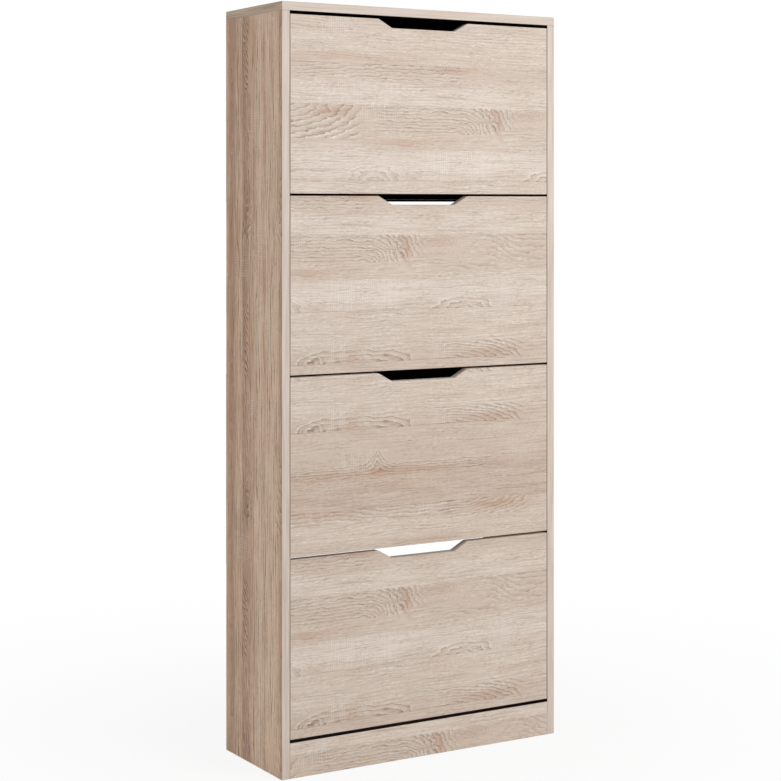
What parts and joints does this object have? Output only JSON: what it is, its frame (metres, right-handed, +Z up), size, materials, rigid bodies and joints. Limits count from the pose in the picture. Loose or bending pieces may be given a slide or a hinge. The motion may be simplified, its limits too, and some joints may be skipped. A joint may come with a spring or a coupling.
{
  "type": "shoe cabinet",
  "caption": "Tall slim shoe cabinet with drop-front flaps that tip out on pins, each with a two-tier rack behind it and a finger notch in its upper edge.",
  "frame": {"origin": "on the floor under the middle of the cabinet's width and depth", "axes": "+Z up, front at -Y, +X to the right of someone facing the flaps"},
  "size_m": [0.6, 0.23, 1.4],
  "materials": {
    "oak_front": "sawn pale oak decor, satin melamine, grain level",
    "oak_carcass": "sawn pale oak decor, satin melamine, grain along the board, charcoal inner faces",
    "oak_rack": "sawn pale oak decor, satin melamine",
    "back_sheet": "thin hard fibre board, charcoal inside and bare brown behind",
    "black_plastic": "moulded, fine grained",
    "bright_steel": "zinc plated",
    "zinc_casting": "die-cast zinc",
    "beech": "fluted bare beech",
    "soft_rubber": "matt"
  },
  "bodies": {
    "carcass": {"left_side_panel": "oak_carcass", "right_side_panel": "oak_carcass", "top_panel": "oak_carcass", "base_panel": "oak_carcass", "plinth_board": "oak_front", "upper_rear_rail": "oak_carcass", "middle_rear_rail": "oak_carcass", "lower_rear_rail": "oak_carcass", "upper_back_sheet": "back_sheet", "lower_back_sheet": "back_sheet", "plinth_glue_blocks": "beech", "cam_bolts": "bright_steel", "cam_housings": "zinc_casting", "wooden_dowels": "beech", "back_sheet_nails": "bright_steel", "hinge_pins": "bright_steel", "guide_pins": "bright_steel", "wall_brackets": "bright_steel", "wall_bracket_screws": "bright_steel", "closing_buffers": "soft_rubber"},
    "flap_1": {"flap_panel_1": "oak_front", "left_rack_bracket_1": "black_plastic", "right_rack_bracket_1": "black_plastic", "front_shelf_1": "oak_rack", "rack_divider_1": "oak_rack", "rear_shelf_1": "oak_rack", "rear_lip_1": "oak_rack", "rack_screws_1": "bright_steel"},
    "flap_2": {"flap_panel_2": "oak_front", "left_rack_bracket_2": "black_plastic", "right_rack_bracket_2": "black_plastic", "front_shelf_2": "oak_rack", "rack_divider_2": "oak_rack", "rear_shelf_2": "oak_rack", "rear_lip_2": "oak_rack", "rack_screws_2": "bright_steel"},
    "flap_3": {"flap_panel_3": "oak_front", "left_rack_bracket_3": "black_plastic", "right_rack_bracket_3": "black_plastic", "front_shelf_3": "oak_rack", "rack_divider_3": "oak_rack", "rear_shelf_3": "oak_rack", "rear_lip_3": "oak_rack", "rack_screws_3": "bright_steel"},
    "flap_4": {"flap_panel_4": "oak_front", "left_rack_bracket_4": "black_plastic", "right_rack_bracket_4": "black_plastic", "front_shelf_4": "oak_rack", "rack_divider_4": "oak_rack", "rear_shelf_4": "oak_rack", "rear_lip_4": "oak_rack", "rack_screws_4": "bright_steel"}
  },
  "joints": [
    {"name": "flap_1_hinge", "type": "hinge", "parent": "carcass", "child": "flap_1", "pos_m": [0, -0.092, 1.13376], "axis": [1, 0, 0], "range_deg": [0, 40]},
    {"name": "flap_2_hinge", "type": "hinge", "parent": "carcass", "child": "flap_2", "pos_m": [0, -0.092, 0.80576], "axis": [1, 0, 0], "range_deg": [0, 40]},
    {"name": "flap_3_hinge", "type": "hinge", "parent": "carcass", "child": "flap_3", "pos_m": [0, -0.092, 0.47776], "axis": [1, 0, 0], "range_deg": [0, 40]},
    {"name": "flap_4_hinge", "type": "hinge", "parent": "carcass", "child": "flap_4", "pos_m": [0, -0.092, 0.14976], "axis": [1, 0, 0], "range_deg": [0, 40]}
  ]
}
